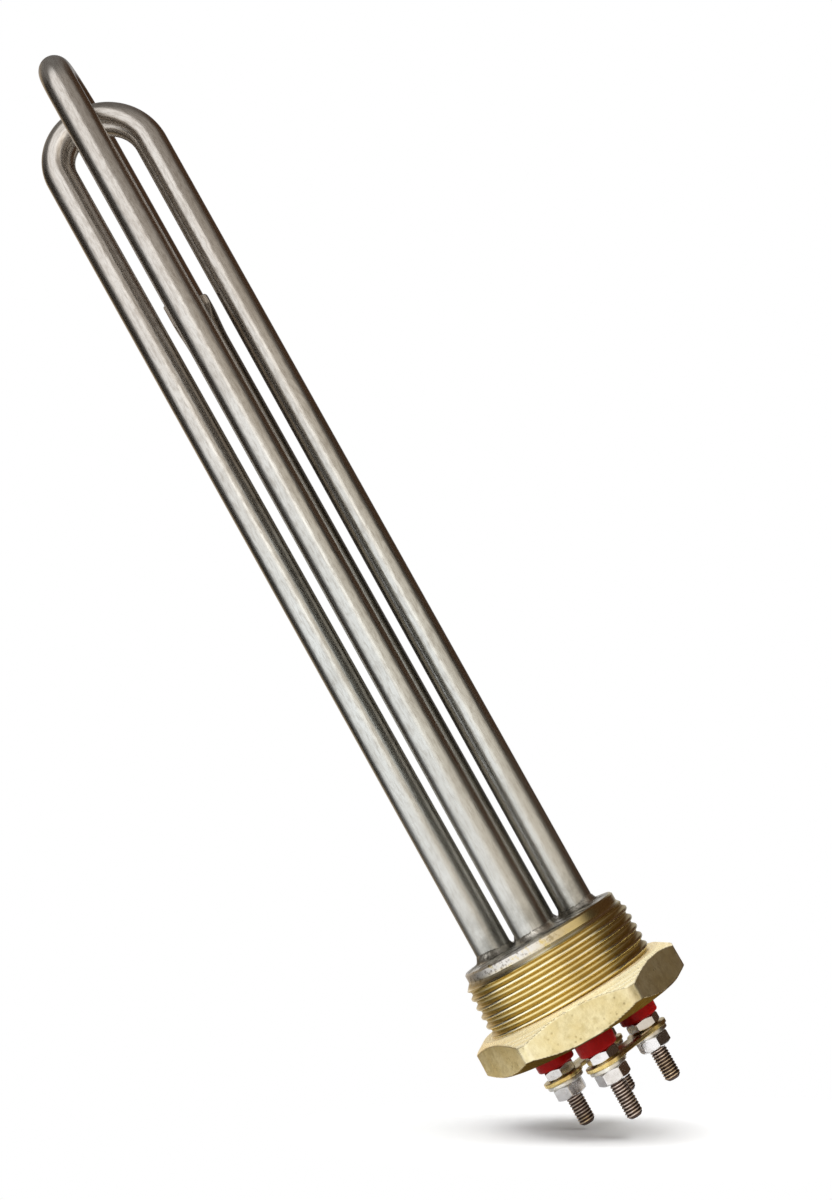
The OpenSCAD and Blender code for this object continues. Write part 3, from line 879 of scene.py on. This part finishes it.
def makeBraze():
    rings = []
    for r in range(braze["rings"]):
        ring = []
        for a in np.linspace(0, fullTurn, braze["around"], endpoint=False):
            wander = noise.noise(Vector((math.cos(a) * 3, math.sin(a) * 3, 1.7)))
            radius = (braze["edge"] + braze["edgeWander"] * wander) * (1 - r / braze["rings"])
            x = radius * math.cos(a)
            y = radius * math.sin(a)
            ring.append((x * mm, y * mm, (braze["top"] + brazeHeight(x, y)) * mm))
        rings.append(ring)
    under = [(x, y, (braze["top"] - braze["sink"]) * mm) for x, y, z in rings[0]]
    mesh = ringStack("brazeFiller", [under] + rings)
    tidyMesh(mesh, 60)
    return dress(addPiece("brazeFiller", mesh), [brazeSilver], "braze")


makeBraze()
print("stage: braze")


# terminals: studs, whose upper ends are the cold pins
terminal = {"studRadius": 2.0, "studDepth": 0.26, "studPitch": 0.7, "studTop": -4.2, "foot": 0.7,
            "crestFlat": 0.2, "rootFlat": 0.22, "ringStep": 0.07,
            "ends": {"left": 26.9, "right": 27.6, "front": 28.6, "back": 27.2},
            "pinRadius": 1.3, "pinTop": 50.2, "pinSink": 0.5}


def makeStud(side):
    x, y = legs[side]
    low = -terminal["ends"][side]
    length = terminal["studTop"] - low
    rod = runTree(
        "stud_" + side + "_rod", threadTree,
        {"Radius": terminal["studRadius"], "Depth": terminal["studDepth"], "Pitch": terminal["studPitch"],
         "Length": length, "Foot": terminal["foot"]},
        {"Crest Flat": terminal["crestFlat"], "Root Flat": terminal["rootFlat"], "Segments": 48,
         "Rings": int(length / terminal["ringStep"]), "Place": (x * mm, y * mm, low * mm),
         "Material": studSteel})
    # the pin follows its leg, and the legs of A lean outwards
    lean = math.copysign(math.tan(math.radians(hairpin["leanA"])), x) if y == 0 else 0.0
    pin = []
    for z in (terminal["studTop"] - terminal["pinSink"], hairpin["leanFrom"], terminal["pinTop"]):
        shift = max(z - hairpin["leanFrom"], 0) * lean
        pin.append(circle(terminal["pinRadius"], z, (x + shift, y), 24))
    mesh = joinMeshes("stud_" + side, [rod.data, ringStack("pin", pin)])
    bpy.data.objects.remove(rod)
    tidyMesh(mesh, 40)
    spots = points(mesh) / mm
    radius = np.hypot(spots[:, 0] - x, spots[:, 1] - y)
    root = terminal["studRadius"] - terminal["studDepth"]
    setValues(mesh, "crest", np.clip((radius - root) / terminal["studDepth"], 0, 1))
    return dress(addPiece("studThread_" + side, mesh), [studSteel], "stud_" + side)


# bushes and washers, turned from outlines of radius and height
turnedParts = {
    "bush": [(2.05, -12.6), (4.1, -12.6), (4.4, -12.5), (4.58, -12.28), (4.63, -12.0), (4.67, -10.8),
             (4.64, -9.2), (4.58, -8.8), (4.44, -8.58), (3.6, -8.5), (3.6, -4.3), (3.4, -4.1), (2.05, -4.1)],
    "washer": [(2.15, -16.9), (4.3, -16.9), (4.46, -16.8), (4.5, -16.6), (4.48, -16.1), (4.36, -15.94),
               (4.2, -15.9), (2.15, -15.9)]}


def makeBush(side):
    mesh = lathe("bush_" + side, turnedParts["bush"], legs[side])
    tidyMesh(mesh, 35)
    return dress(addPiece("siliconeBush_" + side, mesh), [redSilicone], "bush_" + side)


def makeWashers():
    mesh = joinMeshes("washers", [lathe("washer", turnedParts["washer"], leg) for leg in legs.values()])
    tidyMesh(mesh, 35)
    return dress(addPiece("washerSet", mesh), [washerPlate], "washers")


# nuts, with their corners, end faces and chamfers as shares of the width across flats
nutShape = {"corner": 1.152, "face": 0.93, "chamfer": 0.066, "rounding": 0.00012, "boreOver": 0.002}
nuts = {"inner": {"low": -15.0, "height": 2.4, "turns": (-25, 10, -11, 5), "node": "inner_nuts"},
        "outer": {"low": -19.9, "height": 3.0, "turns": (30, -15, 0, 14), "node": "outer_nuts"}}


def makeNutTree():
    tree, src, out = newTree("nutsOnStuds", "GeometryNodeTree", [
        ("Geometry", "Geometry", None), ("Across Flats", "Float", 0.007), ("Height", "Float", 0.003),
        ("Bore", "Float", 0.00202), ("Material", "Material", None)], [("Geometry", "Geometry")])
    across = src["Across Flats"]
    shares = [nutShape[key] for key in ("corner", "face", "chamfer")]
    corner, face, chamfer = [calc(tree, "MULTIPLY", across, share) for share in shares]
    block = put(tree, "GeometryNodeGroup", {
        "Across Flats": across, "Height": src["Height"], "Corner Diameter": corner, "Top Diameter": face,
        "Low Diameter": face, "Top Drop": chamfer, "Low Rise": chamfer, "Rounding": nutShape["rounding"],
        "Lumps": 0.0, "Segments": 144, "Rings": 28, "Material": src["Material"]}, node_tree=hexTree)
    depth = calc(tree, "ADD", src["Height"], nutShape["boreOver"])
    bore = put(tree, "GeometryNodeMeshCylinder", {"Vertices": 48, "Radius": src["Bore"], "Depth": depth})
    cut = put(tree, "GeometryNodeMeshBoolean", {"Mesh 1": block.outputs[0], "Mesh 2": bore.outputs[0]},
              operation="DIFFERENCE", solver="EXACT")
    euler = joinXYZ(tree, 0.0, 0.0, storedValue(tree, "turn", "FLOAT"))
    spin = put(tree, "FunctionNodeEulerToRotation", {0: euler})
    spots = put(tree, "GeometryNodeMeshToPoints", {0: src["Geometry"]})
    spread = put(tree, "GeometryNodeInstanceOnPoints", {
        "Points": spots.outputs[0], "Instance": cut.outputs[0], "Rotation": spin.outputs[0]})
    return endTree(tree, src, out, spread.outputs[0])


nutTree = makeNutTree()


def makeNuts(which):
    size = nuts[which]
    middle = size["low"] + size["height"] / 2
    host = bpy.data.meshes.new("nutHost")
    host.from_pydata([(x * mm, y * mm, middle * mm) for x, y in legs.values()], [], [])
    setValues(host, "turn", [math.radians(t) for t in size["turns"]])
    piece = runTree(which + "Nuts", nutTree, {"Height": size["height"]}, {"Material": nutPlate}, host)
    tidyMesh(piece.data, 24)
    return dress(piece, [nutPlate], size["node"])


# links: a strip with two eyes, its inner edge cut back
strip = {"thick": 0.9, "outer": 4.5, "inner": 2.35, "eye": 4.9, "hole": 2.15, "span": 15.486, "low": -15.9,
         "edge": 0.14}


def arc(radius, angles, x=0.0):
    return [(x + radius * math.cos(a), radius * math.sin(a)) for a in angles]


def makeLink(name, start, turn, node):
    high = math.asin(strip["outer"] / strip["eye"])
    low = math.asin(strip["inner"] / strip["eye"])
    outline = arc(strip["eye"], np.linspace(high, fullTurn - low, 49))
    outline += arc(strip["eye"], np.linspace(low - math.pi, math.pi - high, 49), strip["span"])
    around = np.linspace(0, fullTurn, 40, endpoint=False)
    flat = bpy.data.curves.new(name, "CURVE")
    flat.dimensions = "2D"
    flat.fill_mode = "BOTH"
    flat.extrude = (strip["thick"] / 2 - strip["edge"]) * mm
    flat.bevel_depth = strip["edge"] * mm
    flat.bevel_resolution = 2
    flat.offset = -strip["edge"] * mm
    for line in (outline, arc(strip["hole"], around), arc(strip["hole"], around, strip["span"])):
        spline = flat.splines.new("POLY")
        spline.points.add(len(line) - 1)
        for point, (x, y) in zip(spline.points, line):
            point.co = (x * mm, y * mm, 0, 1)
        spline.use_cyclic_u = True
    maker = addPiece(name, flat)
    mesh = evaluatedMesh(maker)
    bpy.data.objects.remove(maker)
    spot = Vector((start[0], start[1], strip["low"] + strip["thick"] / 2)) * mm
    mesh.transform(Matrix.Translation(spot) @ Matrix.Rotation(math.radians(turn), 4, "Z"))
    tidyMesh(mesh, 30, 10 * weld)
    return dress(addPiece(name, mesh), [linkBrass], node)


for side in legs:
    makeStud(side)
    makeBush(side)
makeNuts("inner")
makeNuts("outer")
makeWashers()
makeLink("linkLeftBack", legs["left"], 45, "link_left_back")
makeLink("linkFrontRight", legs["right"], 225, "link_front_right")
print("stage: terminals")


# inside the sheaths the solids stay, with their own finish
for node, material in (("element_a_powder", pressedPowder), ("element_b_powder", pressedPowder),
                       ("element_a_coil", coilWire), ("element_b_coil", coilWire)):
    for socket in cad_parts[node].material_slots:
        socket.material = material


# studio: floor under the studs, lamps, reflectors that only metal sees
studio = {"floorTilt": 12.0, "floorSize": 0.3, "floorGap": 0.4, "paper": 0.62, "floorGlow": 0.03,
          "floorBounce": 0.14, "fadeFrom": 0.012, "fadeTo": 0.06, "shadowSpot": (4, 0, -24),
          "shadowShift": 6.0, "shadowSqueeze": 0.65, "dome": 0.7, "domeMiddle": 0.1, "cameraTurn": 86.1,
          "roomTone": (0.033, 0.027, 0.021), "worldLight": 0.3, "aim": (0, 0, 0.1)}
lamps = {"keyLamp": {"place": (-0.42, -0.6, 0.35), "size": (0.5, 0.8), "power": 3.6, "colour": (1, 1, 1)},
         "fillLamp": {"place": (0.6, -0.5, 0.2), "size": (0.4, 0.7), "power": 0.9, "colour": (1, 0.95, 0.88)},
         "topLamp": {"above": 0.5, "aside": 0.15, "size": (2.0, 0.5), "power": 14.5, "colour": (1, 1, 1)}}
# studio cards seen only by the metal, in degrees round the axis from the camera and above the level
cards = [
    {"card": "window", "around": (-84, -4), "soft": 28, "lean": 0.6, "height": (-40, 70), "fade": 25,
     "bright": 1.25, "tint": (1, 1, 1)},
    {"card": "strip", "around": (-6, 10), "soft": 8, "lean": 0, "height": (5, 70), "fade": 25,
     "bright": 0.9, "tint": (1, 1, 1)},
    {"card": "wall", "around": (-6, 62), "soft": 25, "lean": 0, "height": (-40, 28), "fade": 25,
     "bright": 0.8, "tint": (1.1, 1, 0.86)},
    {"card": "upperWall", "around": (5, 80), "soft": 30, "lean": 0, "height": (28, 60), "fade": 25,
     "bright": 0.33, "tint": (1.08, 1, 0.92)},
    {"card": "corner", "around": (-165, -132), "soft": 20, "lean": 0, "height": (-30, 60), "fade": 25,
     "bright": 0.35, "tint": (1.15, 0.9, 0.6)},
    {"card": "brown", "around": (85, 150), "soft": 20, "lean": 0, "height": (-40, 60), "fade": 25,
     "bright": 0.03, "tint": (1.4, 0.5, 0.1)},
    {"card": "ceiling", "around": (-200, 200), "soft": 10, "lean": 0, "height": (58, 120), "fade": 20,
     "bright": 0.16, "tint": (1.03, 1, 0.96)},
    {"card": "backWindow", "around": (155, 205), "soft": 20, "lean": 0, "height": (-40, 50), "fade": 25,
     "bright": 0.6, "tint": (1, 1, 1)},
    {"card": "ground", "around": (-200, 200), "soft": 10, "lean": 0, "height": (-120, -50), "fade": 20,
     "bright": 0.7, "tint": (1, 1, 1)},
]


def bareMaterial(name):
    material = bpy.data.materials.new(name)
    material.use_nodes = True
    tree = material.node_tree
    tree.nodes.remove(tree.nodes["Principled BSDF"])
    return material, tree, tree.nodes["Material Output"].inputs[0]


def seenRays(tree):
    # rays that show the background itself, and the mirrored ones among them
    rays = put(tree, "ShaderNodeLightPath").outputs
    seen = calc(tree, "MAXIMUM", rays["Is Camera Ray"], rays["Is Glossy Ray"])
    return calc(tree, "MAXIMUM", seen, rays["Is Transmission Ray"]), rays["Is Glossy Ray"]


def floorAxes():
    # the floor faces the camera's up, tipped away from it, just under the lowest stud
    tilt = math.radians(studio["floorTilt"])
    normal = Vector(view["up"]) * math.cos(tilt) + Vector(view["look"]) * math.sin(tilt)
    normal.normalize()
    rim = terminal["studRadius"] * math.sqrt(1 - normal.z ** 2)
    lowest = min(normal.dot(Vector((*legs[side], -end))) for side, end in terminal["ends"].items()) - rim
    sideways = Vector(view["look"]).cross(normal).normalized()
    return lowest, sideways, normal.cross(sideways), normal


def makeFloor():
    lowest, sideways, onward, normal = floorAxes()
    size = studio["floorSize"]
    middle = normal * (lowest - studio["floorGap"]) * mm
    corners = ((-1, -1), (1, -1), (1, 1), (-1, 1))
    verts = [middle + sideways * a * size + onward * b * size for a, b in corners]
    mesh = meshFrom("floor", verts, [(0, 1, 2, 3)])
    floor = addPiece("floor", mesh)
    if mesh.polygons[0].normal.dot(normal) < 0:
        mesh.flip_normals()
    material, tree, surface = bareMaterial("floorPaper")
    paper = put(tree, "ShaderNodeBsdfDiffuse", {"Color": (studio["paper"],) * 3 + (1,)})
    seen, mirrored = seenRays(tree)
    # the metal sees the paper brighter than the shadow leaves it
    level = calc(tree, "MULTIPLY", seen, studio["floorGlow"])
    level = calc(tree, "MULTIPLY_ADD", mirrored, studio["floorBounce"], level)
    glow = put(tree, "ShaderNodeEmission", {"Strength": level})
    both = put(tree, "ShaderNodeAddShader", {0: paper.outputs[0], 1: glow.outputs[0]})
    clear = put(tree, "ShaderNodeBsdfTransparent")
    behind = put(tree, "ShaderNodeNewGeometry").outputs["Backfacing"]
    # the paper fades out round the shadow
    spot = Vector(studio["shadowSpot"])
    spot = (spot + normal * (lowest - normal.dot(spot)) + sideways * studio["shadowShift"]) * mm
    offset = vectorCalc(tree, "SUBTRACT", objectPlace(tree), spot)
    across = vectorCalc(tree, "DOT_PRODUCT", offset, sideways, output="Value")
    deep = vectorCalc(tree, "DOT_PRODUCT", offset, onward, output="Value")
    across = calc(tree, "MULTIPLY", across, studio["shadowSqueeze"])
    away = calc(tree, "SQRT", calc(tree, "MULTIPLY_ADD", across, across, calc(tree, "MULTIPLY", deep, deep)))
    fade = remap(tree, away, studio["fadeFrom"], studio["fadeTo"], 0, 1, True)
    pick = put(tree, "ShaderNodeMixShader", {0: calc(tree, "MAXIMUM", fade, behind), 1: both.outputs[0],
                                             2: clear.outputs[0]})
    wire(tree, pick.outputs[0], surface)
    mesh.materials.append(material)
    return middle, sideways, onward, normal


def softSpan(value, start, end, soft):
    inside = min(value - start, end - value) / soft + 0.5
    inside = min(max(inside, 0), 1)
    return inside * inside * (3 - 2 * inside)


def cardTone(a, e):
    tone = np.array(studio["roomTone"])
    for card in cards:
        start = card["around"][0] + card["lean"] * e
        level = max(softSpan(b, start, card["around"][1], card["soft"]) for b in (a, a + 360))
        level *= softSpan(e, *card["height"], card["fade"])
        tone = tone + card["bright"] * level * np.array(card["tint"])
    return [*tone, 1]


def makeReflectors():
    # a dome whose tones change around the object's axis and with the height
    rings = []
    tones = []
    for e in np.arange(-88, 89, 4.0):
        wide = studio["dome"] * math.cos(math.radians(e))
        high = studio["domeMiddle"] + studio["dome"] * math.sin(math.radians(e))
        ring = []
        for a in np.arange(-180, 180, 2.0):
            turn = math.radians(a - studio["cameraTurn"])
            ring.append((wide * math.cos(turn), wide * math.sin(turn), high))
            tones.append(cardTone(a, e))
        rings.append(ring)
    mesh = ringStack("reflectors", rings)
    layer = mesh.attributes.new("tone", "FLOAT_COLOR", "POINT")
    layer.data.foreach_set("color", np.array(tones, dtype=np.float32).reshape(-1))
    material, tree, surface = bareMaterial("reflectorCloth")
    glow = put(tree, "ShaderNodeEmission", {"Color": attribute(tree, "tone", "Color"), "Strength": 1.0})
    wire(tree, glow.outputs[0], surface)
    material.cycles.emission_sampling = "NONE"
    mesh.materials.append(material)
    dome = addPiece("reflectors", mesh)
    dome.visible_camera = False
    dome.visible_diffuse = False
    dome.visible_transmission = False
    dome.visible_shadow = False
    dome.visible_volume_scatter = False


def makeLamp(name, place, turn):
    lamp = lamps[name]
    data = bpy.data.lights.new(name, "AREA")
    data.shape = "RECTANGLE"
    data.size, data.size_y = lamp["size"]
    data.energy = lamp["power"]
    data.color = lamp["colour"]
    holder = addPiece(name, data)
    holder.location = place
    holder.rotation_euler = turn.to_euler()
    holder.visible_glossy = False


def makeLamps(middle, sideways, onward, normal):
    for name in ("keyLamp", "fillLamp"):
        place = Vector(lamps[name]["place"])
        makeLamp(name, place, (Vector(studio["aim"]) - place).to_track_quat("-Z", "Y"))
    # the third hangs level over the floor
    top = lamps["topLamp"]
    place = middle + normal * top["above"] - sideways * top["aside"]
    makeLamp("topLamp", place, Matrix((sideways, onward, normal)).transposed())


def makeWorld():
    world = bpy.data.worlds.new("studioWorld")
    world.use_nodes = True
    scene.world = world
    tree = world.node_tree
    back = tree.nodes["Background"]
    back.inputs["Color"].default_value = (1, 1, 1, 1)
    wire(tree, remap(tree, seenRays(tree)[0], 0, 1, studio["worldLight"], 1.0), back.inputs["Strength"])


floorPlane = makeFloor()
makeReflectors()
makeWorld()
makeLamps(*floorPlane)
print("stage: studio")
